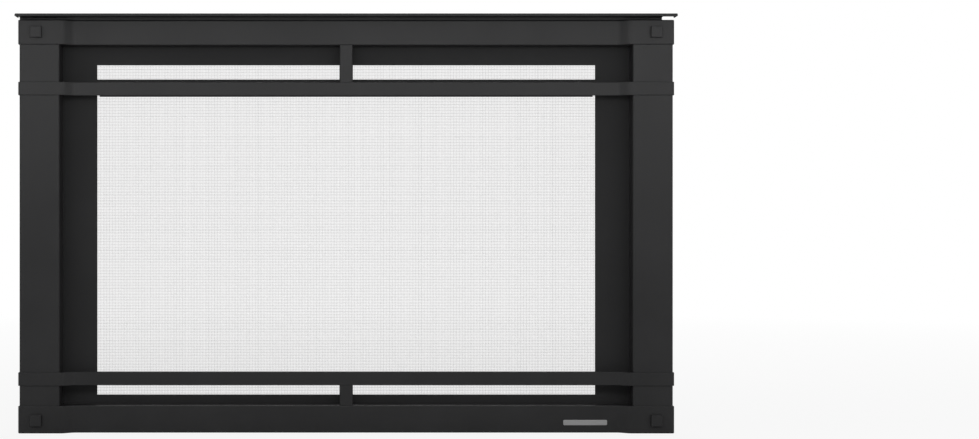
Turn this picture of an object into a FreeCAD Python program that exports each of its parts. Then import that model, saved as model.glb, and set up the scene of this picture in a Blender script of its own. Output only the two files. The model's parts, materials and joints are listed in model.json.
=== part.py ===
"""Fireplace screen: a folded steel front with a lift-out mesh safety screen behind it.

Axes: +X runs to the right, +Y from the front to the back, +Z up.
Origin: middle of the width, middle of the depth, underside of the base rail.
Depths are counted from the front edge of the cap and turned into Y by y_at().
"""
import FreeCAD, Part
import math
import os

Vector = FreeCAD.Vector

# ---------------------------------------------------------------- driving dimensions, mm

OVERALL_WIDTH = 1112.0   # the cap, end to end
OVERALL_HEIGHT = 706.0
OVERALL_DEPTH = 68.0

RAIL_GAUGE = 2.0         # rails, straps, mullions and cap
PANEL_GAUGE = 1.5        # posts, surround and riser
SCREEN_GAUGE = 1.2       # screen frame and its side channels

# depths from the cap's front edge
WRAP_FACE = 16.0         # rails and straps where they cross the posts
SPAN_FACE = 28.0         # rails and straps between the posts
SURROUND_FACE = 55.0
SURROUND_BACK = SURROUND_FACE + PANEL_GAUGE
SCREEN_FRONT = SURROUND_BACK + 0.6
POST_FACE = WRAP_FACE + RAIL_GAUGE
POST_BACK = 66.5
GAP = 0.3                # between parts that slip past one another
BACK_CLEARANCE = 1.0     # rests and tabs stop this far in front of the back

# posts
POST_WIDTH = 68.0
POST_OUTER = 551.0       # half width over the two posts
POST_INNER = POST_OUTER - POST_WIDTH
POST_FLANGE = 20.0       # width of the turned-in flanges behind each post
BEND_INSIDE = 2.0        # inside radius of the front's right-angle bends

# rails and straps
HEADER_HEIGHT = 41.5
HEADER_TOP = 697.0
HEADER_BOTTOM = HEADER_TOP - HEADER_HEIGHT
BASE_HEIGHT = 46.2
STRAP_HEIGHT = 22.5
UPPER_STRAP_Z = 570.2    # lower edge
LOWER_STRAP_Z = 80.2
MULLION_WIDTH = 22.5
MULLION_LEG = 12.0       # depth of a mullion's side walls
MULLION_BEND_INSIDE = 0.8
TONGUE_OVERLAP = 15.0    # how far a mullion's tongue backs the strap, and reaches into the mullion
JOGGLE_OUT = 478.0       # where the step back from post to span begins and ends
JOGGLE_IN = 461.0
JOGGLE_RADIUS = 16.0
RAIL_EDGE_ROUND = 1.5
STRAP_EDGE_ROUND = 0.8

# cap and riser
CAP_LIP = 4.0            # height of the cap's front and end edges
CAP_BACK = 30.0
CAP_EDGE_ROUND = 1.8
RISER_TOE = 6.0          # front end of the riser's upper leg
RISER_FRONT = SPAN_FACE
RISER_FOOT = 20.0        # width of its lower leg
RISER_LEFT = -552.0
RISER_RIGHT = 534.0      # stops short, which leaves a gap under the cap's right end
RISER_BEND_INSIDE = 1.0
RISER_STUD_PITCH = 200.0
RISER_STUD_COUNT = 5
RISER_STUD_REACH = 9.0   # below the header's top

# surround: jambs and crosspieces round three openings
SURROUND_HALF_WIDTH = 503.0
SURROUND_TOP = 693.0
WINDOW_HALF_WIDTH = 424.6
TRANSOM_TOP = 623.7
WEB_TOP = 599.5
WEB_BOTTOM = 570.0
SILL_TOP = 101.2
SILL_BOTTOM = 81.7
SLOT_BOTTOM = 62.0
RELIEF_WIDTH = 5.0
RELIEF_HEIGHT = 2.5
WEB_LIP = 8.0            # lip folded forward along the web's lower edge

# corner pegs and badge
PEG_SIZE = 19.0
PEG_HEIGHT = 6.0
PEG_EDGE_ROUND = 1.0
PEG_X = 522.5
PEG_Z = (21.9, 676.6)
BADGE_SIZE = (74.0, 1.2, 9.0)
BADGE_CENTRE = (404.0, 17.2)
BADGE_CORNER = 2.0
BADGE_EDGE_ROUND = 0.4

# lift-out screen
SCREEN_HALF_WIDTH = 452.5
SCREEN_BOTTOM = 31.2
SCREEN_TOP = 654.2
SCREEN_FACE_WIDTH = 21.5  # width of the frame members, seen from the front
SCREEN_DEPTH = 8.6
SCREEN_BEND_INSIDE = 0.4
MESH_THICKNESS = 0.5
MESH_TUCK = 5.5           # how far the mesh stays inside the frame's outer edge
CLAMP_WIDTH = 14.0
CLAMP_THICKNESS = 2.0
CLAMP_INSET = 4.5
CLAMP_SCREW_PITCH = 110.0   # along the top and bottom bars
CLAMP_SCREW_COUNT = 8
SIDE_SCREW_PITCH = 100.0
SIDE_SCREW_COUNT = 6
GUSSET_LEG = 40.0
GUSSET_WIDTH = 12.0
GUSSET_THICKNESS = 1.5

# screen channels and rests
CHANNEL_WEB = 454.0      # inner face of the wall beside the screen
CHANNEL_LIP = 13.0
CHANNEL_Z = (26.2, 662.2)
CHANNEL_EDGE = 2.0       # its flange stops this far inside the surround's edge
THIN_BEND_INSIDE = 1.0   # inside radius of the channels' and rests' bends
REST_Z = SCREEN_BOTTOM - GAP
REST_X = (368.0, 418.0)
REST_DROP = 20.0
REST_RIVET_INSET = 12.0
REST_RIVET_DROP = 12.0

# fixings
FIT = 0.05               # radial clearance of a shank in its hole or nut
LARGE_NUT = (10.0, 5.0)  # across flats and thickness, on the pegs' shanks
SMALL_NUT = (7.0, 3.2)   # on the welded studs
WASHER_RADIUS = 6.5
WASHER_THICKNESS = 1.2
RIVET_RADIUS = 1.6
FLANGE_RIVET_X = 493.5
FLANGE_RIVET_Z = (70.0, 180.0, 300.0, 420.0, 540.0, 640.0)
STUD_RADIUS = 2.0
STRAP_STUD_LENGTH = 10.0
PEG_SHANK_RADIUS = 3.0
PEG_SHANK_LENGTH = 16.0
LUG_HOLE_X = 508.0
LUG_Z = (100.0, 600.0)
LUG_HOLE_RADIUS = 4.25
LUG_HEIGHT = 50.0
LUG_THICKNESS = 3.0
LUG_CORNER = 6.0         # radius
LUG_RIVET_RISE = 15.0    # either side of the lug's middle
TAB_X = 250.0
TAB_WIDTH = 36.0
TAB_HEIGHT = 30.0
TAB_CURL = 3.0           # rise of the curl at the tab's top
TAB_RIVET_RADIUS = 1.25
TAB_RIVET_SPREAD = 9.0   # either side of the tab's middle
SCREW_RADIUS = 1.5
SCREW_TIP = 0.2          # how far a screw's tip stays behind the frame's face

MARGIN = 5.0             # how far cutting tools run past what they cut


# ---------------------------------------------------------------- helpers

def y_at(depth):
    """Y of a depth counted from the cap's front edge."""
    return depth - OVERALL_DEPTH / 2


def box(x0, x1, d0, d1, z0, z1):
    """Block between two x, two depths and two heights."""
    corner = Vector(min(x0, x1), y_at(d0), z0)
    return Part.makeBox(abs(x1 - x0), d1 - d0, z1 - z0, corner)


def rod_y(x, z, radius, d0, d1):
    """Round bar along the depth."""
    return Part.makeCylinder(radius, d1 - d0, Vector(x, y_at(d0), z), Vector(0, 1, 0))


def rod_z(x, depth, radius, z0, z1):
    """Upright round bar."""
    return Part.makeCylinder(radius, z1 - z0, Vector(x, y_at(depth), z0), Vector(0, 0, 1))


def joined(solids):
    """One welded solid out of several that touch."""
    return solids[0].fuse(solids[1:]).removeSplitter()


def mirrored(shape):
    """The same piece on the other side of the middle."""
    return shape.mirror(Vector(0, 0, 0), Vector(1, 0, 0))


def offset_edges(points, radii, offset, place):
    """Edges of a bent line, moved sideways by offset; place turns (u, v) into a 3-D point."""
    edges = []
    cursor = None
    for i in range(1, len(points)):
        here = points[i]
        along = (here - points[i - 1]).normalize()
        side = Vector(-along.y, along.x, 0) * offset
        if cursor is None:
            cursor = points[0] + side
        if i == len(points) - 1:
            edges.append(Part.LineSegment(place(cursor), place(here + side)).toShape())
            break
        onward = (points[i + 1] - here).normalize()
        turn = math.atan2(along.cross(onward).z, along.dot(onward))
        sign = math.copysign(1.0, turn)
        setback = radii[i - 1] * math.tan(abs(turn) / 2)
        start = here - along * setback
        end = here + onward * setback
        centre = start + Vector(-along.y, along.x, 0) * (sign * radii[i - 1])
        outward = (here - centre).normalize()
        middle = centre + outward * (radii[i - 1] - sign * offset)
        arc_start = start + side
        arc_end = end + Vector(-onward.y, onward.x, 0) * offset
        edges.append(Part.LineSegment(place(cursor), place(arc_start)).toShape())
        edges.append(Part.Arc(place(arc_start), place(middle), place(arc_end)).toShape())
        cursor = arc_end
    return edges


def closed_face(edges, closing):
    """Face inside a run of edges and the straight edges that close it."""
    lines = [Part.LineSegment(a, b).toShape() for a, b in closing]
    return Part.Face(Part.Wire(Part.__sortEdges__(edges + lines)))


def first_and_last(edges):
    return edges[0].valueAt(edges[0].FirstParameter), edges[-1].valueAt(edges[-1].LastParameter)


def folded_sheet(points, gauge, place, length, inside=BEND_INSIDE):
    """Sheet of one gauge bent along a line through its middle, then drawn out by length."""
    radii = [inside + gauge / 2] * (len(points) - 2)
    one_side = offset_edges(points, radii, gauge / 2, place)
    other_side = offset_edges(points, radii, -gauge / 2, place)
    a0, a1 = first_and_last(one_side)
    b0, b1 = first_and_last(other_side)
    section = closed_face(one_side + other_side, [(a0, b0), (a1, b1)])
    return section.extrude(length)


def plan_at(z):
    """Plan drawing: u is x and v is depth, at height z."""
    return lambda p: Vector(p.x, y_at(p.y), z)


def side_at(x):
    """Side drawing: u is depth and v is height, at x."""
    return lambda p: Vector(x, y_at(p.x), p.y)


def rounded(solid, radius, wanted):
    """Round the edges whose middle point passes the test."""
    edges = [e for e in solid.Edges if wanted(e.valueAt((e.FirstParameter + e.LastParameter) / 2))]
    return solid.makeFillet(radius, edges)


def rivet_y(x, z, radius, d0, d1):
    """Blind rivet along the depth with a low domed head at each end."""
    return headed_rod(radius, d1 - d0, Vector(x, y_at(d0), z), Vector(0, 1, 0))


def headed_rod(radius, grip, start, axis):
    """Rivet: shank of the grip's length with a domed head beyond each end."""
    shank = Part.makeCylinder(radius, grip, start, axis)
    head_radius = 2 * radius
    head_height = 0.8 * radius
    dome_radius = (head_radius ** 2 + head_height ** 2) / (2 * head_height)
    heads = []
    for base, out in ((start, axis * -1), (start + axis * grip, axis)):
        disc = Part.makeCylinder(head_radius, head_height, base, out)
        ball = Part.makeSphere(dome_radius, base + out * (head_height - dome_radius))
        heads.append(disc.common(ball))
    return joined([shank] + heads)


def hex_nut(size, bore, start, axis):
    """Hexagon nut standing on start, with its corners turned off at 45 degrees."""
    across_flats, thickness = size
    corner_radius = across_flats / math.sqrt(3)
    points = [Vector(corner_radius, 0, 0)]
    for i in range(6):
        turn = FreeCAD.Rotation(Vector(0, 0, 1), 60 * (i + 1))
        points.append(turn.multVec(points[0]))
    prism = Part.Face(Part.makePolygon(points)).extrude(Vector(0, 0, thickness))
    top_radius = across_flats / 2
    cone = Part.makeCone(top_radius + thickness, top_radius, thickness)
    nut = prism.common(cone).cut(Part.makeCylinder(bore, thickness))
    nut.Placement = FreeCAD.Placement(start, FreeCAD.Rotation(Vector(0, 0, 1), axis))
    return nut


def pan_screw_y(x, z, radius, head_depth, tip_depth):
    """Pan-head screw driven forward from the back: the head's underside is at head_depth."""
    head_radius = 2 * radius
    head_height = radius
    shank = rod_y(x, z, radius, tip_depth, head_depth)
    head = rod_y(x, z, head_radius, head_depth, head_depth + head_height)
    top = y_at(head_depth + head_height)
    head = rounded(head, 0.4 * head_height, lambda p: p.y > top - 0.01)
    slot = box(x - head_radius, x + head_radius, head_depth + 0.5 * head_height,
               head_depth + head_height + 1, z - 0.3, z + 0.3)
    return joined([shank, head]).cut(slot)


# ---------------------------------------------------------------- rails and straps

def wrap_line():
    """Middle line, in plan, of a bar that wraps both posts and steps back between them."""
    half = POST_OUTER + RAIL_GAUGE / 2
    front = WRAP_FACE + RAIL_GAUGE / 2
    back = SPAN_FACE + RAIL_GAUGE / 2
    right = [Vector(JOGGLE_IN, back, 0), Vector(JOGGLE_OUT, front, 0),
             Vector(half, front, 0), Vector(half, SURROUND_FACE, 0)]
    left = [Vector(-p.x, p.y, 0) for p in reversed(right)]
    corner = BEND_INSIDE + RAIL_GAUGE / 2
    radii = [corner, JOGGLE_RADIUS, JOGGLE_RADIUS, JOGGLE_RADIUS, JOGGLE_RADIUS, corner]
    return left + right, radii


def wrap_prism(offset, z0, z1):
    """Solid between the wrap line, moved inwards by offset, and the surround's face."""
    points, radii = wrap_line()
    edges = offset_edges(points, radii, offset, plan_at(z0))
    start, end = first_and_last(edges)
    return closed_face(edges, [(start, end)]).extrude(Vector(0, 0, z1 - z0))


def wrap_bar(z0, z1, edge_round, floor, ceiling):
    """Bar with rounded front edges; floor and ceiling are the inner heights of its flanges."""
    back = y_at(SURROUND_FACE)
    outside = wrap_prism(-RAIL_GAUGE / 2, z0, z1)
    outside = rounded(outside, edge_round, lambda p: min(p.z - z0, z1 - p.z) < 0.01 and p.y < back - 0.01)
    return outside.cut(wrap_prism(RAIL_GAUGE / 2, floor, ceiling))


def post_clearance(z0, z1):
    """The two spaces that the posts take up inside a rail."""
    right = box(POST_INNER - GAP, POST_OUTER, POST_FACE, SURROUND_FACE + MARGIN, z0, z1)
    return [right, mirrored(right)]


def peg_holes(z):
    return [rod_y(side * PEG_X, z, PEG_SHANK_RADIUS + FIT, WRAP_FACE - MARGIN, WRAP_FACE + 2 * MARGIN)
            for side in (-1, 1)]


def riser_stud_places():
    """x and depth of the studs that hold the riser down on the header rail."""
    middle = (RISER_STUD_COUNT - 1) / 2
    return [(RISER_STUD_PITCH * (i - middle), RISER_FRONT + RISER_FOOT / 2) for i in range(RISER_STUD_COUNT)]


def header_rail():
    rail = wrap_bar(HEADER_BOTTOM, HEADER_TOP, RAIL_EDGE_ROUND,
                    HEADER_BOTTOM + RAIL_GAUGE, HEADER_TOP - RAIL_GAUGE)
    cuts = post_clearance(HEADER_BOTTOM - MARGIN, HEADER_TOP - RAIL_GAUGE)
    cuts += peg_holes(PEG_Z[1])
    cuts += [rod_z(x, depth, STUD_RADIUS + FIT, HEADER_TOP - MARGIN, HEADER_TOP + MARGIN)
             for x, depth in riser_stud_places()]
    return rail.cut(cuts)


def base_rail():
    rail = wrap_bar(0, BASE_HEIGHT, RAIL_EDGE_ROUND, RAIL_GAUGE, BASE_HEIGHT - RAIL_GAUGE)
    return rail.cut(post_clearance(RAIL_GAUGE, BASE_HEIGHT + MARGIN) + peg_holes(PEG_Z[0]))


def strap_stud_x():
    return POST_INNER + POST_WIDTH / 2


def cross_strap(z0):
    """Flat bar with one welded stud behind each crossing."""
    z1 = z0 + STRAP_HEIGHT
    bar = wrap_bar(z0, z1, STRAP_EDGE_ROUND, z0, z1)
    tip = POST_FACE + STRAP_STUD_LENGTH
    studs = [rod_y(side * strap_stud_x(), (z0 + z1) / 2, STUD_RADIUS, POST_FACE, tip) for side in (-1, 1)]
    return joined([bar] + studs)


def mullion(z0, z1, tongue_z0, tongue_z1):
    """Short channel between a rail and a strap, with a tongue welded inside it that backs the strap."""
    half = MULLION_WIDTH / 2 - RAIL_GAUGE / 2
    face = SPAN_FACE + RAIL_GAUGE / 2
    line = [Vector(-half, SPAN_FACE + MULLION_LEG, 0), Vector(-half, face, 0),
            Vector(half, face, 0), Vector(half, SPAN_FACE + MULLION_LEG, 0)]
    channel = folded_sheet(line, RAIL_GAUGE, plan_at(z0), Vector(0, 0, z1 - z0), MULLION_BEND_INSIDE)
    tongue_half = half - RAIL_GAUGE
    back = SPAN_FACE + RAIL_GAUGE
    tongue = box(-tongue_half, tongue_half, back, back + RAIL_GAUGE, tongue_z0, tongue_z1)
    return joined([channel, tongue])


def upper_mullion():
    top = UPPER_STRAP_Z + STRAP_HEIGHT
    return mullion(top, HEADER_BOTTOM, top - TONGUE_OVERLAP, top + TONGUE_OVERLAP)


def lower_mullion():
    return mullion(BASE_HEIGHT, LOWER_STRAP_Z, LOWER_STRAP_Z - TONGUE_OVERLAP, LOWER_STRAP_Z + TONGUE_OVERLAP)


# ---------------------------------------------------------------- posts, surround, cap

def flange_rivet_holes():
    radius = RIVET_RADIUS + FIT
    return [rod_y(side * FLANGE_RIVET_X, z, radius, SURROUND_FACE - MARGIN, SURROUND_BACK + MARGIN)
            for side in (-1, 1) for z in FLANGE_RIVET_Z]


def lug_rivet_places():
    """x and z of the two rivets of each right-hand lug."""
    return [(POST_OUTER - POST_FLANGE / 2, z + side * LUG_RIVET_RISE) for z in LUG_Z for side in (-1, 1)]


def right_post():
    """Channel: face, inner wall with a flange behind the surround's edge, outer wall with a rear flange."""
    half = PANEL_GAUGE / 2
    line = [Vector(POST_INNER + POST_FLANGE, SURROUND_FACE - half, 0),
            Vector(POST_INNER + half, SURROUND_FACE - half, 0),
            Vector(POST_INNER + half, POST_FACE + half, 0),
            Vector(POST_OUTER - half, POST_FACE + half, 0),
            Vector(POST_OUTER - half, POST_BACK - half, 0),
            Vector(POST_OUTER - POST_FLANGE, POST_BACK - half, 0)]
    z1 = HEADER_TOP - RAIL_GAUGE
    post = folded_sheet(line, PANEL_GAUGE, plan_at(RAIL_GAUGE), Vector(0, 0, z1 - RAIL_GAUGE))
    cuts = flange_rivet_holes()
    cuts += [rod_y(PEG_X, z, PEG_SHANK_RADIUS + FIT, POST_FACE - MARGIN, POST_FACE + MARGIN) for z in PEG_Z]
    for z0 in (UPPER_STRAP_Z, LOWER_STRAP_Z):
        cuts.append(rod_y(strap_stud_x(), z0 + STRAP_HEIGHT / 2, STUD_RADIUS + FIT,
                          POST_FACE - MARGIN, POST_FACE + MARGIN))
    cuts += [rod_y(x, z, RIVET_RADIUS + FIT, POST_BACK - MARGIN, POST_BACK + MARGIN)
             for x, z in lug_rivet_places()]
    return post.cut(cuts)


def surround_sheet(x0, x1, z0, z1):
    return box(x0, x1, SURROUND_FACE, SURROUND_BACK, z0, z1)


def right_jamb():
    """Upright sheet between the post's flange and the openings."""
    jamb = surround_sheet(WINDOW_HALF_WIDTH, SURROUND_HALF_WIDTH, RAIL_GAUGE, SURROUND_TOP)
    return jamb.cut(flange_rivet_holes())


def crosspiece(z0, z1):
    """Sheet butt-welded between the two jambs."""
    return surround_sheet(-WINDOW_HALF_WIDTH, WINDOW_HALF_WIDTH, z0, z1)


def foot_panel():
    return crosspiece(RAIL_GAUGE, SLOT_BOTTOM).cut(rest_rivet_holes())


def transom_bar():
    """Bar behind the upper strap: its lower lip is folded forward, with a bend relief at each end."""
    bar = crosspiece(WEB_BOTTOM, WEB_TOP)
    lip_half = WINDOW_HALF_WIDTH - RELIEF_WIDTH
    lip = box(-lip_half, lip_half, SURROUND_FACE - WEB_LIP, SURROUND_FACE,
              WEB_BOTTOM, WEB_BOTTOM + PANEL_GAUGE)
    relief = surround_sheet(lip_half, WINDOW_HALF_WIDTH, WEB_BOTTOM, WEB_BOTTOM + RELIEF_HEIGHT)
    return joined([bar.cut([relief, mirrored(relief)]), lip])


def top_cap():
    """Shallow tray turned upside down, open at the back."""
    half = OVERALL_WIDTH / 2
    top = OVERALL_HEIGHT
    foot = top - CAP_LIP
    front = y_at(0)
    back = y_at(CAP_BACK)
    outside = box(-half, half, 0, CAP_BACK, foot, top)
    outside = rounded(outside, CAP_EDGE_ROUND, lambda p: (p.z > top - 0.01 and p.y < back - 0.01)
                      or (abs(p.x) > half - 0.01 and p.y < front + 0.01))
    inner_half = half - RAIL_GAUGE
    return outside.cut(box(-inner_half, inner_half, RAIL_GAUGE, CAP_BACK + MARGIN,
                           foot - MARGIN, top - RAIL_GAUGE))


def cap_riser():
    """Z-shaped strip that carries the cap on its upper leg, with studs welded under its lower leg."""
    top = OVERALL_HEIGHT - RAIL_GAUGE
    half = PANEL_GAUGE / 2
    face = RISER_FRONT + half
    line = [Vector(RISER_TOE, top - half, 0), Vector(face, top - half, 0),
            Vector(face, HEADER_TOP + half, 0), Vector(RISER_FRONT + RISER_FOOT, HEADER_TOP + half, 0)]
    length = Vector(RISER_RIGHT - RISER_LEFT, 0, 0)
    strip = folded_sheet(line, PANEL_GAUGE, side_at(RISER_LEFT), length, RISER_BEND_INSIDE)
    studs = [rod_z(x, depth, STUD_RADIUS, HEADER_TOP - RISER_STUD_REACH, HEADER_TOP)
             for x, depth in riser_stud_places()]
    return joined([strip] + studs)


# ---------------------------------------------------------------- corner pegs and badge

def corner_peg(x, z):
    """Flat square head with soft edges, on a round shank that passes through rail and post."""
    half = PEG_SIZE / 2
    back = y_at(WRAP_FACE)
    head = box(x - half, x + half, WRAP_FACE - PEG_HEIGHT, WRAP_FACE, z - half, z + half)
    head = rounded(head, PEG_EDGE_ROUND, lambda p: p.y < back - 0.01)
    return joined([head, rod_y(x, z, PEG_SHANK_RADIUS, WRAP_FACE, WRAP_FACE + PEG_SHANK_LENGTH)])


def corners():
    """The four pegs: node suffix, x and z."""
    levels = zip(("lower", "upper"), PEG_Z)
    sides = (("left", -PEG_X), ("right", PEG_X))
    return [(f"{level}_{side}", x, z) for level, z in levels for side, x in sides]


def peg_washers():
    front = POST_FACE + PANEL_GAUGE
    back = front + WASHER_THICKNESS
    return [rod_y(x, z, WASHER_RADIUS, front, back).cut(rod_y(x, z, PEG_SHANK_RADIUS + FIT, front, back))
            for _, x, z in corners()]


def peg_nuts():
    front = y_at(POST_FACE + PANEL_GAUGE + WASHER_THICKNESS)
    return [hex_nut(LARGE_NUT, PEG_SHANK_RADIUS + FIT, Vector(x, front, z), Vector(0, 1, 0))
            for _, x, z in corners()]


def strap_nuts():
    front = y_at(POST_FACE + PANEL_GAUGE)
    places = [Vector(side * strap_stud_x(), front, z0 + STRAP_HEIGHT / 2)
              for side in (-1, 1) for z0 in (LOWER_STRAP_Z, UPPER_STRAP_Z)]
    return [hex_nut(SMALL_NUT, STUD_RADIUS + FIT, place, Vector(0, 1, 0)) for place in places]


def riser_nuts():
    places = [Vector(x, y_at(depth), HEADER_TOP - RAIL_GAUGE) for x, depth in riser_stud_places()]
    return [hex_nut(SMALL_NUT, STUD_RADIUS + FIT, place, Vector(0, 0, -1)) for place in places]


def badge():
    """Blank plate with rounded corners and no mark on it."""
    width, thickness, height = BADGE_SIZE
    x, z = BADGE_CENTRE
    plate = box(x - width / 2, x + width / 2, SPAN_FACE - thickness, SPAN_FACE,
                z - height / 2, z + height / 2)
    middle = y_at(SPAN_FACE - thickness / 2)
    plate = rounded(plate, BADGE_CORNER,
                    lambda p: abs(p.y - middle) < 0.01 and abs(p.x - x) > width / 2 - 0.01)
    front = y_at(SPAN_FACE - thickness)
    return rounded(plate, BADGE_EDGE_ROUND, lambda p: p.y < front + 0.01)


# ---------------------------------------------------------------- what holds the screen and the front

def right_channel():
    """Z-shaped guide: flange on the surround's back, wall beside the screen, lip behind it."""
    half = SCREEN_GAUGE / 2
    line = [Vector(SURROUND_HALF_WIDTH - CHANNEL_EDGE, SURROUND_BACK + half, 0),
            Vector(CHANNEL_WEB + half, SURROUND_BACK + half, 0),
            Vector(CHANNEL_WEB + half, OVERALL_DEPTH - half, 0),
            Vector(CHANNEL_WEB - CHANNEL_LIP, OVERALL_DEPTH - half, 0)]
    z0, z1 = CHANNEL_Z
    channel = folded_sheet(line, SCREEN_GAUGE, plan_at(z0), Vector(0, 0, z1 - z0), THIN_BEND_INSIDE)
    return channel.cut(flange_rivet_holes())


def rest_rivet_places():
    """x and z of the rivets of the right-hand rest, below the base rail's top edge."""
    xs = (REST_X[0] + REST_RIVET_INSET, REST_X[1] - REST_RIVET_INSET)
    return [(x, REST_Z - REST_RIVET_DROP) for x in xs]


def rest_rivet_holes():
    return [rod_y(side * x, z, RIVET_RADIUS + FIT, SURROUND_FACE - MARGIN, SURROUND_BACK + MARGIN)
            for side in (-1, 1) for x, z in rest_rivet_places()]


def right_rest():
    """Angle that the screen's lower edge stands on."""
    half = PANEL_GAUGE / 2
    line = [Vector(SURROUND_BACK + half, REST_Z - REST_DROP, 0),
            Vector(SURROUND_BACK + half, REST_Z - half, 0),
            Vector(OVERALL_DEPTH - BACK_CLEARANCE, REST_Z - half, 0)]
    x0, x1 = REST_X
    angle = folded_sheet(line, PANEL_GAUGE, side_at(x0), Vector(x1 - x0, 0, 0), THIN_BEND_INSIDE)
    return angle.cut(rest_rivet_holes())


def frame_rivets():
    front = SURROUND_FACE - PANEL_GAUGE
    back = SURROUND_BACK + SCREEN_GAUGE
    return [rivet_y(side * FLANGE_RIVET_X, z, RIVET_RADIUS, front, back)
            for side in (-1, 1) for z in FLANGE_RIVET_Z]


def rest_rivets():
    return [rivet_y(side * x, z, RIVET_RADIUS, SURROUND_FACE, SURROUND_BACK + PANEL_GAUGE)
            for side in (-1, 1) for x, z in rest_rivet_places()]


def right_lug(z):
    """Plate across the open back of the post, with one fixing hole."""
    back = POST_BACK - PANEL_GAUGE
    x0 = POST_INNER + 2 * PANEL_GAUGE
    x1 = POST_OUTER - PANEL_GAUGE - BEND_INSIDE
    plate = box(x0, x1, back - LUG_THICKNESS, back, z - LUG_HEIGHT / 2, z + LUG_HEIGHT / 2)
    middle = y_at(back - LUG_THICKNESS / 2)
    plate = rounded(plate, LUG_CORNER, lambda p: abs(p.y - middle) < 0.01 and p.x < x0 + 0.01)
    holes = [rod_y(LUG_HOLE_X, z, LUG_HOLE_RADIUS, back - LUG_THICKNESS - MARGIN, back + MARGIN)]
    holes += [rod_y(x, rivet_z, RIVET_RADIUS + FIT, back - LUG_THICKNESS - MARGIN, back + MARGIN)
              for x, rivet_z in lug_rivet_places()]
    return plate.cut(holes)


def lug_rivets():
    return [rivet_y(side * x, z, RIVET_RADIUS, POST_BACK - PANEL_GAUGE - LUG_THICKNESS, POST_BACK)
            for side in (-1, 1) for x, z in lug_rivet_places()]


# ---------------------------------------------------------------- lift-out screen

SCREEN_MIDDLE_Z = (SCREEN_BOTTOM + SCREEN_TOP) / 2
MESH_FRONT = SCREEN_FRONT + SCREEN_GAUGE
CLAMP_FRONT = MESH_FRONT + MESH_THICKNESS
CLAMP_BACK = CLAMP_FRONT + CLAMP_THICKNESS
GUSSET_BACK = CLAMP_BACK + GUSSET_THICKNESS


def upside_down(shape):
    """The same piece at the other end of the screen's height."""
    return shape.mirror(Vector(0, 0, SCREEN_MIDDLE_Z), Vector(0, 0, 1))


def clamp_line():
    """Half width and half height of the line that the clamp screws follow."""
    inset = CLAMP_INSET + CLAMP_WIDTH / 2
    return SCREEN_HALF_WIDTH - inset, (SCREEN_TOP - SCREEN_BOTTOM) / 2 - inset


def clamp_screw_places():
    half_x, half_z = clamp_line()
    places = []
    for side in (-1, 1):
        for i in range(CLAMP_SCREW_COUNT):
            places.append((CLAMP_SCREW_PITCH * (i - (CLAMP_SCREW_COUNT - 1) / 2), side * half_z))
        for i in range(SIDE_SCREW_COUNT):
            places.append((side * half_x, SIDE_SCREW_PITCH * (i - (SIDE_SCREW_COUNT - 1) / 2)))
    return [(x, SCREEN_MIDDLE_Z + z) for x, z in places]


def gusset_screw_places():
    half_x, half_z = clamp_line()
    step = GUSSET_LEG - 1.3 * GUSSET_WIDTH
    ends = [(half_x - step, half_z), (half_x, half_z - step)]
    return [(sx * x, SCREEN_MIDDLE_Z + sz * z) for x, z in ends for sx in (-1, 1) for sz in (-1, 1)]


def screen_screw_holes():
    return [rod_y(x, z, SCREW_RADIUS + FIT, SCREEN_FRONT - MARGIN, GUSSET_BACK + MARGIN)
            for x, z in clamp_screw_places() + gusset_screw_places()]


def tab_rivet_places():
    return [side * TAB_X + dx for side in (-1, 1) for dx in (-TAB_RIVET_SPREAD, TAB_RIVET_SPREAD)]


def tab_rivet_depth():
    """Middle of the flat between the tab's upright plate and the frame's face leg."""
    return SCREEN_FRONT + (SCREEN_DEPTH - GAP) / 2


def screen_stile():
    """Right-hand upright of the frame: face leg and outer return leg."""
    half = SCREEN_GAUGE / 2
    line = [Vector(SCREEN_HALF_WIDTH - SCREEN_FACE_WIDTH, SCREEN_FRONT + half, 0),
            Vector(SCREEN_HALF_WIDTH - half, SCREEN_FRONT + half, 0),
            Vector(SCREEN_HALF_WIDTH - half, SCREEN_FRONT + SCREEN_DEPTH, 0)]
    length = Vector(0, 0, SCREEN_TOP - SCREEN_BOTTOM)
    stile = folded_sheet(line, SCREEN_GAUGE, plan_at(SCREEN_BOTTOM), length, SCREEN_BEND_INSIDE)
    return stile.cut(screen_screw_holes())


def screen_top_rail():
    """Top member: its return leg reaches the stiles' legs, its face leg stops at their faces."""
    half = SCREEN_GAUGE / 2
    line = [Vector(SCREEN_FRONT + half, SCREEN_TOP - SCREEN_FACE_WIDTH, 0),
            Vector(SCREEN_FRONT + half, SCREEN_TOP - half, 0),
            Vector(SCREEN_FRONT + SCREEN_DEPTH, SCREEN_TOP - half, 0)]
    reach = SCREEN_HALF_WIDTH - SCREEN_GAUGE - GAP
    face_end = SCREEN_HALF_WIDTH - SCREEN_FACE_WIDTH
    rail = folded_sheet(line, SCREEN_GAUGE, side_at(-reach), Vector(2 * reach, 0, 0), SCREEN_BEND_INSIDE)
    corner = box(face_end, reach + MARGIN, SCREEN_FRONT - MARGIN, MESH_FRONT + SCREEN_BEND_INSIDE,
                 SCREEN_TOP - SCREEN_FACE_WIDTH - MARGIN, SCREEN_TOP + MARGIN)
    return rail.cut([corner, mirrored(corner)] + screen_screw_holes())


def drilled_for_tabs(rail):
    radius = TAB_RIVET_RADIUS + FIT
    return rail.cut([rod_z(x, tab_rivet_depth(), radius, SCREEN_TOP - MARGIN, SCREEN_TOP + MARGIN)
                     for x in tab_rivet_places()])


def mesh_cloth():
    """Closed sheet that stands for the woven wire: the outer size of the cut mesh."""
    half = SCREEN_HALF_WIDTH - MESH_TUCK
    sheet = box(-half, half, MESH_FRONT, CLAMP_FRONT, SCREEN_BOTTOM + MESH_TUCK, SCREEN_TOP - MESH_TUCK)
    return sheet.cut(screen_screw_holes())


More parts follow.
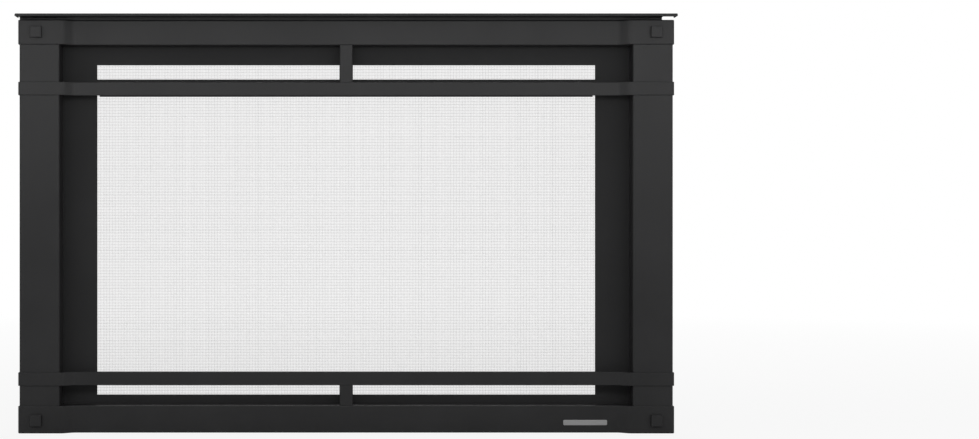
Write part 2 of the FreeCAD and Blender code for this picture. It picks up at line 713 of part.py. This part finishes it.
def side_clamp():
    outer = SCREEN_HALF_WIDTH - CLAMP_INSET
    bar = box(outer - CLAMP_WIDTH, outer, CLAMP_FRONT, CLAMP_BACK,
              SCREEN_BOTTOM + CLAMP_INSET, SCREEN_TOP - CLAMP_INSET)
    return bar.cut(screen_screw_holes())


def top_clamp():
    half = SCREEN_HALF_WIDTH - CLAMP_INSET - CLAMP_WIDTH
    outer = SCREEN_TOP - CLAMP_INSET
    return box(-half, half, CLAMP_FRONT, CLAMP_BACK, outer - CLAMP_WIDTH, outer).cut(screen_screw_holes())


def corner_gussets():
    """Four flat angles that tie the clamp bars together at the corners."""
    x1 = SCREEN_HALF_WIDTH - CLAMP_INSET - (CLAMP_WIDTH - GUSSET_WIDTH) / 2
    z1 = SCREEN_TOP - CLAMP_INSET - (CLAMP_WIDTH - GUSSET_WIDTH) / 2
    level = box(x1 - GUSSET_LEG, x1, CLAMP_BACK, GUSSET_BACK, z1 - GUSSET_WIDTH, z1)
    upright = box(x1 - GUSSET_WIDTH, x1, CLAMP_BACK, GUSSET_BACK, z1 - GUSSET_LEG, z1)
    angle = joined([level, upright]).cut(screen_screw_holes())
    return [angle, mirrored(angle), upside_down(angle), upside_down(mirrored(angle))]


def clamp_screws():
    tip = SCREEN_FRONT + SCREW_TIP
    return [pan_screw_y(x, z, SCREW_RADIUS, CLAMP_BACK, tip) for x, z in clamp_screw_places()]


def gusset_screws():
    tip = SCREEN_FRONT + SCREW_TIP
    return [pan_screw_y(x, z, SCREW_RADIUS, GUSSET_BACK, tip) for x, z in gusset_screw_places()]


def lift_tab(x):
    """Finger tab: foot on the screen's top edge, upright plate, and a small curl at its top."""
    half = PANEL_GAUGE / 2
    plate = SCREEN_FRONT + SCREEN_DEPTH - half
    top = SCREEN_TOP + TAB_HEIGHT
    line = [Vector(SCREEN_FRONT + GAP, SCREEN_TOP + half, 0), Vector(plate, SCREEN_TOP + half, 0),
            Vector(plate, top, 0), Vector(OVERALL_DEPTH - BACK_CLEARANCE, top + TAB_CURL, 0)]
    length = Vector(TAB_WIDTH, 0, 0)
    tab = folded_sheet(line, PANEL_GAUGE, side_at(x - TAB_WIDTH / 2), length, SCREEN_BEND_INSIDE)
    return drilled_for_tabs(tab)


def tab_rivets():
    return [headed_rod(TAB_RIVET_RADIUS, SCREEN_GAUGE + PANEL_GAUGE,
                       Vector(x, y_at(tab_rivet_depth()), SCREEN_TOP - SCREEN_GAUGE), Vector(0, 0, 1))
            for x in tab_rivet_places()]


# ---------------------------------------------------------------- all nodes

def all_nodes():
    """Every node's name with its solid or its list of identical solids."""
    post = right_post()
    jamb = right_jamb()
    channel = right_channel()
    rest = right_rest()
    stile = screen_stile()
    clamp = side_clamp()
    rail = screen_top_rail()
    beam = top_clamp()
    nodes = {
        "top_cap": top_cap(),
        "cap_riser": cap_riser(),
        "riser_nuts": riser_nuts(),
        "header_rail": header_rail(),
        "base_rail": base_rail(),
        "left_post": mirrored(post),
        "right_post": post,
        "upper_cross_strap": cross_strap(UPPER_STRAP_Z),
        "lower_cross_strap": cross_strap(LOWER_STRAP_Z),
        "strap_nuts": strap_nuts(),
        "upper_mullion": upper_mullion(),
        "lower_mullion": lower_mullion(),
        "surround_top_panel": crosspiece(TRANSOM_TOP, SURROUND_TOP),
        "surround_transom_bar": transom_bar(),
        "surround_sill_bar": crosspiece(SILL_BOTTOM, SILL_TOP),
        "surround_foot_panel": foot_panel(),
        "surround_left_jamb": mirrored(jamb),
        "surround_right_jamb": jamb,
        "peg_washers": peg_washers(),
        "peg_nuts": peg_nuts(),
        "badge_plate": badge(),
        "left_screen_channel": mirrored(channel),
        "right_screen_channel": channel,
        "left_screen_rest": mirrored(rest),
        "right_screen_rest": rest,
        "frame_rivets": frame_rivets(),
        "rest_rivets": rest_rivets(),
        "lug_rivets": lug_rivets(),
        "screen_top_rail": drilled_for_tabs(rail),
        "screen_bottom_rail": upside_down(rail),
        "screen_left_stile": mirrored(stile),
        "screen_right_stile": stile,
        "mesh_cloth": mesh_cloth(),
        "mesh_clamp_top": beam,
        "mesh_clamp_bottom": upside_down(beam),
        "mesh_clamp_left": mirrored(clamp),
        "mesh_clamp_right": clamp,
        "screen_corner_gussets": corner_gussets(),
        "clamp_screws": clamp_screws(),
        "gusset_screws": gusset_screws(),
        "left_lift_tab": lift_tab(-TAB_X),
        "right_lift_tab": lift_tab(TAB_X),
        "tab_rivets": tab_rivets(),
    }
    for name, x, z in corners():
        nodes[f"corner_peg_{name}"] = corner_peg(x, z)
    for level, z in zip(("lower", "upper"), LUG_Z):
        lug = right_lug(z)
        nodes[f"mounting_lug_{level}_right"] = lug
        nodes[f"mounting_lug_{level}_left"] = mirrored(lug)
    return nodes


os.makedirs("parts", exist_ok=True)
for node, shape in all_nodes().items():
    if isinstance(shape, list):
        shape = Part.makeCompound(shape)
    shape.exportStep(f"parts/{node}.step")
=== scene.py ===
import json
import math

import bpy
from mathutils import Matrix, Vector


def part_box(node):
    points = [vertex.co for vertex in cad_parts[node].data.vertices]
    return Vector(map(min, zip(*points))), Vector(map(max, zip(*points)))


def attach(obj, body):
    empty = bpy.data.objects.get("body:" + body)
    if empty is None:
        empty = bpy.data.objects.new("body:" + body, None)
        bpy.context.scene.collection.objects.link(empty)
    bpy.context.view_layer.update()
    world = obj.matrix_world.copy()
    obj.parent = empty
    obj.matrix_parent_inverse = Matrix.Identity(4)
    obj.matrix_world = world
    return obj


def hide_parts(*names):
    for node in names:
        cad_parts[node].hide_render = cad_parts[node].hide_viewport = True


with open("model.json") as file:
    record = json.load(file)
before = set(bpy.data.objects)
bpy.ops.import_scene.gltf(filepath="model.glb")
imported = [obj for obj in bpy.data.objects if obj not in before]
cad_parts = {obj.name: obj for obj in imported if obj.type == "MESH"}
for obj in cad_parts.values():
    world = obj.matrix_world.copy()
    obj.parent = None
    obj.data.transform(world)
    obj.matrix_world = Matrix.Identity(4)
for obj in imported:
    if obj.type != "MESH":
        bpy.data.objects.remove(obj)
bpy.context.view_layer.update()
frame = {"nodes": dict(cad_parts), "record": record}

MM = 0.001

# ---------------------------------------------------------------- sizes, in millimetres

WIRE_PITCH = 2.6         # a guess, and coarser than most such cloth, so that single wires show
WIRE_DIAMETER = 0.38
WIRE_BUNDLES = 4         # each direction of the cloth is split into this many pieces

CAMERA_DISTANCE = 3000.0  # from the rails' faces over the posts
CAMERA_HEIGHT = 354.6
LENS = 65.5
SENSOR_WIDTH = 36
LENS_SHIFT = (0.1464, 0.0036)  # leaves the right third of the picture empty
CAMERA_REACH = 200       # metres, past the far edge of the floor

FLOOR_SIZE = 60          # metres
FLOOR_WHITE = 0.88       # share of plain white in the floor beside the screen, as the camera sees it
FLOOR_FADE = (0.5, 4.0)  # metres from the middle, between which that share grows to all white


# ---------------------------------------------------------------- small helpers

def srgb(hex_colour):
    """Linear RGBA of an sRGB hex value."""
    channels = [int(hex_colour[i:i + 2], 16) / 255 for i in (1, 3, 5)]
    return tuple(c / 12.92 if c <= 0.04045 else ((c + 0.055) / 1.055) ** 2.4 for c in channels) + (1.0,)


def per_mm(size):
    """Texture scale that gives features of this many millimetres on object coordinates in metres."""
    return 1.0 / (size * MM)


def add(tree, kind, inputs=None, **settings):
    """Add a node; an input takes a value, or another node's output, which is linked to it."""
    node = tree.nodes.new(kind)
    for name, value in settings.items():
        setattr(node, name, value)
    for name, value in (inputs or {}).items():
        if isinstance(value, bpy.types.NodeSocket):
            tree.links.new(value, node.inputs[name])
        else:
            node.inputs[name].default_value = value
    return node


def new_material(name):
    material = bpy.data.materials.new(name)
    material.use_nodes = True
    tree = material.node_tree
    tree.nodes.clear()
    shader = add(tree, "ShaderNodeBsdfPrincipled")
    add(tree, "ShaderNodeOutputMaterial", {"Surface": shader.outputs["BSDF"]})
    coords = add(tree, "ShaderNodeTexCoord")
    return material, tree, shader, coords.outputs["Object"]


def deselect_all():
    for o in bpy.context.selected_objects:
        o.select_set(False)


def only(o):
    deselect_all()
    o.select_set(True)
    bpy.context.view_layer.objects.active = o


def edit(o):
    """Edit mode with every vertex selected."""
    only(o)
    bpy.ops.object.mode_set(mode="EDIT")
    bpy.ops.mesh.select_mode(type="VERT")
    bpy.ops.mesh.select_all(action="SELECT")


def choose(o, wanted):
    """Select, in edit mode, the vertices whose place passes the test."""
    bpy.ops.mesh.select_all(action="DESELECT")
    bpy.ops.object.mode_set(mode="OBJECT")
    for vertex in o.data.vertices:
        vertex.select = wanted(vertex.co)
    bpy.ops.object.mode_set(mode="EDIT")


def settle(o):
    """Object mode, with the place kept in the mesh and the object at the origin."""
    bpy.ops.object.mode_set(mode="OBJECT")
    only(o)
    bpy.ops.object.transform_apply(location=True, rotation=True, scale=True)
    return o


def apply_modifiers(o):
    only(o)
    for modifier in list(o.modifiers):
        bpy.ops.object.modifier_apply(modifier=modifier.name)


def array(o, step, count, merge=False):
    """Repeat the mesh in a row; merging joins each copy's end to the next one's start."""
    modifier = o.modifiers.new("row", "ARRAY")
    modifier.use_relative_offset = False
    modifier.use_constant_offset = True
    modifier.constant_offset_displace = step
    modifier.count = count
    modifier.use_merge_vertices = merge
    modifier.merge_threshold = 0.01 * MM


def finish_piece(o, name, body, material, replaced=()):
    o.name = name
    o.data.name = name
    o.data.materials.clear()
    o.data.materials.append(material)
    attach(o, body)
    if replaced:
        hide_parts(*replaced)


# ---------------------------------------------------------------- materials

def powder_coat():
    """Black polyester powder coat, baked on folded steel: satin, with the faint orange peel that the
    powder leaves as it flows, and a little uneven gloss where it has been handled."""
    material, tree, shader, coords = new_material("powder_coat_satin_black")
    # handling and thickness change the gloss over a hand's breadth
    cloud = add(tree, "ShaderNodeTexNoise", {"Vector": coords, "Scale": per_mm(90), "Detail": 3.0})
    # orange peel is about 1.5 mm across; drawn at 3 mm so that it shows
    peel = add(tree, "ShaderNodeTexNoise", {"Vector": coords, "Scale": per_mm(3.0), "Detail": 2.0})
    grain = add(tree, "ShaderNodeTexNoise", {"Vector": coords, "Scale": per_mm(0.7), "Detail": 1.0})
    colour = add(tree, "ShaderNodeValToRGB", {"Fac": cloud.outputs["Fac"]})
    colour.color_ramp.elements[0].position = 0.35
    colour.color_ramp.elements[0].color = srgb("#262627")
    colour.color_ramp.elements[1].position = 0.7
    colour.color_ramp.elements[1].color = srgb("#2b2b2c")
    gloss = add(tree, "ShaderNodeMapRange", {"Value": cloud.outputs["Fac"], "From Min": 0.3, "From Max": 0.7,
                                             "To Min": 0.44, "To Max": 0.52})
    bumps = add(tree, "ShaderNodeBump", {"Height": peel.outputs["Fac"], "Strength": 0.35, "Distance": 0.10 * MM})
    fine = add(tree, "ShaderNodeBump", {"Height": grain.outputs["Fac"], "Strength": 0.3, "Distance": 0.03 * MM,
                                        "Normal": bumps.outputs["Normal"]})
    tree.links.new(colour.outputs["Color"], shader.inputs["Base Color"])
    tree.links.new(gloss.outputs["Result"], shader.inputs["Roughness"])
    tree.links.new(fine.outputs["Normal"], shader.inputs["Normal"])
    return material


def stove_paint():
    """Sprayed high-temperature silicone paint on the surround: flat black with a dry, fine tooth."""
    material, tree, shader, coords = new_material("stove_paint_flat_black")
    cloud = add(tree, "ShaderNodeTexNoise", {"Vector": coords, "Scale": per_mm(120), "Detail": 4.0})
    tooth = add(tree, "ShaderNodeTexNoise", {"Vector": coords, "Scale": per_mm(1.2), "Detail": 3.0})
    colour = add(tree, "ShaderNodeValToRGB", {"Fac": cloud.outputs["Fac"]})
    colour.color_ramp.elements[0].position = 0.3
    colour.color_ramp.elements[0].color = srgb("#212122")
    colour.color_ramp.elements[1].position = 0.75
    colour.color_ramp.elements[1].color = srgb("#272728")
    bumps = add(tree, "ShaderNodeBump", {"Height": tooth.outputs["Fac"], "Strength": 0.5, "Distance": 0.05 * MM})
    shader.inputs["Roughness"].default_value = 0.72
    tree.links.new(colour.outputs["Color"], shader.inputs["Base Color"])
    tree.links.new(bumps.outputs["Normal"], shader.inputs["Normal"])
    return material


def drawn_wire(finish, across):
    """Stainless wire, drawn and woven. Wires off different spools differ in brightness, so the tone changes
    from wire to wire, across their run, and stays the same along it."""
    material, tree, shader, coords = new_material("stainless_wire_" + finish)
    # neighbouring wires share a spool: groups about 12 mm wide, with single wires on top
    spools = [per_mm(12) * share for share in across]
    place = add(tree, "ShaderNodeMapping", {"Vector": coords, "Scale": spools})
    tone = add(tree, "ShaderNodeTexNoise", {"Vector": place.outputs["Vector"], "Scale": 1.0, "Detail": 3.0,
                                            "Roughness": 0.7})
    colour = add(tree, "ShaderNodeValToRGB", {"Fac": tone.outputs["Fac"]})
    colour.color_ramp.elements[0].position = 0.36
    colour.color_ramp.elements[0].color = srgb("#6f6a6b")
    colour.color_ramp.elements[1].position = 0.64
    colour.color_ramp.elements[1].color = srgb("#d8d2d3")
    shader.inputs["Metallic"].default_value = 0.6
    shader.inputs["Roughness"].default_value = 0.42
    tree.links.new(colour.outputs["Color"], shader.inputs["Base Color"])
    return material


def zinc_plate():
    """Bright zinc plate on pressed hardware: silvery, with faint warm and cool passivation tints."""
    material, tree, shader, coords = new_material("zinc_plate_bright")
    tint = add(tree, "ShaderNodeTexNoise", {"Vector": coords, "Scale": per_mm(6), "Detail": 2.0})
    colour = add(tree, "ShaderNodeValToRGB", {"Fac": tint.outputs["Fac"]})
    colour.color_ramp.elements[0].position = 0.35
    colour.color_ramp.elements[0].color = srgb("#b9bcc2")
    colour.color_ramp.elements[1].position = 0.65
    colour.color_ramp.elements[1].color = srgb("#c8c4b8")
    scuffs = add(tree, "ShaderNodeTexNoise", {"Vector": coords, "Scale": per_mm(1.0), "Detail": 3.0})
    gloss = add(tree, "ShaderNodeMapRange", {"Value": scuffs.outputs["Fac"], "To Min": 0.22, "To Max": 0.42})
    shader.inputs["Metallic"].default_value = 1.0
    tree.links.new(colour.outputs["Color"], shader.inputs["Base Color"])
    tree.links.new(gloss.outputs["Result"], shader.inputs["Roughness"])
    return material


def galvanised():
    """Hot-dip galvanised strip: grey zinc that has frozen in flat crystals about 8 mm across."""
    material, tree, shader, coords = new_material("galvanised_strip")
    crystals = add(tree, "ShaderNodeTexVoronoi", {"Vector": coords, "Scale": per_mm(8.0)})
    step = add(tree, "ShaderNodeSeparateColor", {"Color": crystals.outputs["Color"]})
    colour = add(tree, "ShaderNodeValToRGB", {"Fac": step.outputs["Red"]})
    colour.color_ramp.elements[0].color = srgb("#8f9396")
    colour.color_ramp.elements[1].color = srgb("#aeb1b3")
    gloss = add(tree, "ShaderNodeMapRange", {"Value": step.outputs["Green"], "To Min": 0.3, "To Max": 0.5})
    shader.inputs["Metallic"].default_value = 1.0
    tree.links.new(colour.outputs["Color"], shader.inputs["Base Color"])
    tree.links.new(gloss.outputs["Result"], shader.inputs["Roughness"])
    return material


def brushed_aluminium():
    """Anodised aluminium, brushed along its length before the rim was cut."""
    material, tree, shader, coords = new_material("aluminium_brushed")
    # brush marks are hair lines; drawn 0.4 mm apart and about 60 mm long
    stretched = add(tree, "ShaderNodeMapping", {"Vector": coords, "Scale": (per_mm(60), per_mm(0.4), per_mm(0.4))})
    lines = add(tree, "ShaderNodeTexNoise", {"Vector": stretched.outputs["Vector"], "Scale": 1.0, "Detail": 3.0})
    colour = add(tree, "ShaderNodeValToRGB", {"Fac": lines.outputs["Fac"]})
    colour.color_ramp.elements[0].color = srgb("#c4c4c5")
    colour.color_ramp.elements[1].color = srgb("#e6e6e6")
    gloss = add(tree, "ShaderNodeMapRange", {"Value": lines.outputs["Fac"], "To Min": 0.25, "To Max": 0.42})
    shader.inputs["Metallic"].default_value = 1.0
    tree.links.new(colour.outputs["Color"], shader.inputs["Base Color"])
    tree.links.new(gloss.outputs["Result"], shader.inputs["Roughness"])
    return material


MATERIALS = {
    "black_coat": powder_coat(),
    "surround_coat": stove_paint(),
    "mesh_wire": drawn_wire("upright", (1, 0, 0)),
    "zinc_hardware": zinc_plate(),
    "galvanised_strip": galvanised(),
    "badge_metal": brushed_aluminium(),
}
LEVEL_WIRE = drawn_wire("level", (0, 0, 1))


def paint_frame():
    """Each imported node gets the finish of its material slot."""
    for part in frame["record"]["subparts"]:
        o = frame["nodes"][part["node"]]
        o.data.materials.clear()
        o.data.materials.append(MATERIALS[part["material_slot"]])


# ---------------------------------------------------------------- woven mesh

UP = Vector((0, 0, 1))
RIGHT = Vector((1, 0, 0))


def wire_cell(first, along, behind):
    """Two pitches of one wire: it starts in front, passes behind halfway and ends in front, or the reverse."""
    pitch = WIRE_PITCH * MM
    radius = WIRE_DIAMETER / 2 * MM
    halfway = first + along * pitch
    turn = (0, 0, math.pi / 4) if along == UP else (0, math.pi / 2, 0)
    bpy.ops.mesh.primitive_cylinder_add(vertices=4, radius=radius, depth=2 * pitch, end_fill_type="NOTHING",
                                        location=halfway, rotation=turn)
    o = settle(bpy.context.active_object)
    edit(o)
    bpy.ops.mesh.bisect(plane_co=halfway, plane_no=along)
    crimp = radius if behind else -radius

    def in_the_middle(place):
        return abs((place - halfway).dot(along)) < pitch / 2

    choose(o, in_the_middle)
    bpy.ops.transform.translate(value=(0, crimp, 0))
    choose(o, lambda place: not in_the_middle(place))
    bpy.ops.transform.translate(value=(0, -crimp, 0))
    return settle(o)


def wire_bundle(name, first, along, across, crossings, wires):
    """A run of parallel woven wires, made from a pair of neighbours that cross in opposite order."""
    pitch = WIRE_PITCH * MM
    upright = along == UP
    o = wire_cell(first, along, upright)
    neighbour = wire_cell(first + across * pitch, along, not upright)
    only(o)
    neighbour.select_set(True)
    bpy.ops.object.join()
    array(o, along * 2 * pitch, crossings // 2, merge=True)
    array(o, across * 2 * pitch, wires // 2)
    apply_modifiers(o)
    edit(o)
    # the wires' open ends
    bpy.ops.mesh.fill_holes(sides=4)
    settle(o)
    bpy.ops.object.shade_smooth()
    material = MATERIALS["mesh_wire"] if upright else LEVEL_WIRE
    finish_piece(o, name, "screen", material, replaced=("mesh_cloth",))


def even(n):
    return 2 * int(n // 2)


def shares(total):
    """Split an even number of wires into even runs."""
    run = even(total / WIRE_BUNDLES)
    runs = [run] * (WIRE_BUNDLES - 1)
    return runs + [total - sum(runs)]


def woven_mesh():
    """Plain weave: upright wires and level wires, each as a few bundles side by side."""
    low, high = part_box("mesh_cloth")
    pitch = WIRE_PITCH * MM
    margin = WIRE_DIAMETER * MM
    upright = even((high.x - low.x - 2 * margin) / pitch)
    level = even((high.z - low.z - 2 * margin) / pitch)
    centre = (low + high) / 2
    left = centre.x - upright * pitch / 2
    foot = centre.z - level * pitch / 2
    half = pitch / 2
    done = 0
    for i, count in enumerate(shares(upright)):
        first = Vector((left + half + done * pitch, centre.y, foot))
        wire_bundle(f"mesh_upright_wires_{i + 1}", first, UP, RIGHT, level, count)
        done += count
    done = 0
    for i, count in enumerate(shares(level)):
        first = Vector((left, centre.y, foot + half + done * pitch))
        wire_bundle(f"mesh_level_wires_{i + 1}", first, RIGHT, UP, upright, count)
        done += count


# ---------------------------------------------------------------- floor, lights, camera

def area_light(name, width, height, power, place, target):
    data = bpy.data.lights.new(name, "AREA")
    data.shape = "RECTANGLE"
    data.size = width
    data.size_y = height
    data.energy = power
    o = bpy.data.objects.new(name, data)
    o.location = place
    o.rotation_euler = (Vector(target) - o.location).to_track_quat("-Z", "Y").to_euler()
    bpy.context.collection.objects.link(o)


def white_for_camera(tree, surface, white, share):
    """Show the camera a share of plain white in place of the surface; light bounces off the surface alone."""
    ray = add(tree, "ShaderNodeLightPath").outputs["Is Camera Ray"]
    part = add(tree, "ShaderNodeMath", {0: ray, 1: share}, operation="MULTIPLY").outputs["Value"]
    mix = add(tree, "ShaderNodeMixShader", {"Fac": part, 1: surface, 2: white})
    tree.links.new(mix.outputs["Shader"], tree.get_output_node("ALL").inputs["Surface"])


def studio():
    """Pale floor and white surroundings, lit by one long soft box level with the top of the front."""
    bpy.ops.mesh.primitive_plane_add(size=FLOOR_SIZE, location=(0, 0, 0))
    floor = bpy.context.active_object
    floor.name = "studio_floor"
    material, tree, shader, coords = new_material("studio_floor_pale")
    shader.inputs["Base Color"].default_value = srgb("#dcdcdc")
    shader.inputs["Roughness"].default_value = 0.9
    shader.inputs["Specular IOR Level"].default_value = 0.0
    white = add(tree, "ShaderNodeEmission", {"Color": (1, 1, 1, 1), "Strength": 1.0})
    # the floor fades to white, so that no horizon shows
    away = add(tree, "ShaderNodeVectorMath", {0: coords}, operation="LENGTH").outputs["Value"]
    share = add(tree, "ShaderNodeMapRange", {"Value": away, "From Min": FLOOR_FADE[0], "From Max": FLOOR_FADE[1],
                                             "To Min": FLOOR_WHITE, "To Max": 1.0}).outputs["Result"]
    white_for_camera(tree, shader.outputs["BSDF"], white.outputs["Emission"], share)
    floor.data.materials.append(material)

    # width, height, watts, place and target; the back fill lights the screen frame and the wires from behind
    area_light("soft_box", 3.0, 0.3, 6.0, (0, -1.15, 0.76), (0, 0, 0.60))
    for side in (-1, 1):
        area_light("side_fill", 0.5, 1.6, 2.0, (side * 1.6, -0.8, 0.8), (0, 0, 0.4))
    area_light("back_fill", 2.4, 1.0, 22, (0, 2.2, 1.9), (0, 0, 0.35))

    world = bpy.data.worlds.new("studio")
    bpy.context.scene.world = world
    world.use_nodes = True
    tree = world.node_tree
    tree.nodes.clear()
    add(tree, "ShaderNodeOutputWorld")
    # dim below the horizon and brighter overhead
    direction = add(tree, "ShaderNodeTexCoord").outputs["Generated"]
    height = add(tree, "ShaderNodeSeparateXYZ", {"Vector": direction}).outputs["Z"]
    glow = add(tree, "ShaderNodeMapRange", {"Value": height, "From Min": -0.3, "From Max": 0.4,
                                            "To Min": 0.02, "To Max": 0.40}).outputs["Result"]
    around = add(tree, "ShaderNodeBackground", {"Strength": glow})
    seen = add(tree, "ShaderNodeBackground", {"Color": (1, 1, 1, 1), "Strength": 1.0})
    white_for_camera(tree, around.outputs["Background"], seen.outputs["Background"], 1.0)
    bpy.context.scene.view_settings.view_transform = "Standard"


def camera():
    """Level with the middle of the front, and far enough back to keep its uprights parallel."""
    data = bpy.data.cameras.new("camera")
    data.lens = LENS
    data.sensor_width = SENSOR_WIDTH
    data.shift_x, data.shift_y = LENS_SHIFT
    data.clip_end = CAMERA_REACH
    o = bpy.data.objects.new("camera", data)
    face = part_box("header_rail")[0].y
    o.location = (0, face - CAMERA_DISTANCE * MM, CAMERA_HEIGHT * MM)
    o.rotation_euler = (math.pi / 2, 0, 0)
    bpy.context.collection.objects.link(o)
    bpy.context.scene.camera = o


# ---------------------------------------------------------------- put together

deselect_all()
paint_frame()
woven_mesh()
studio()
camera()
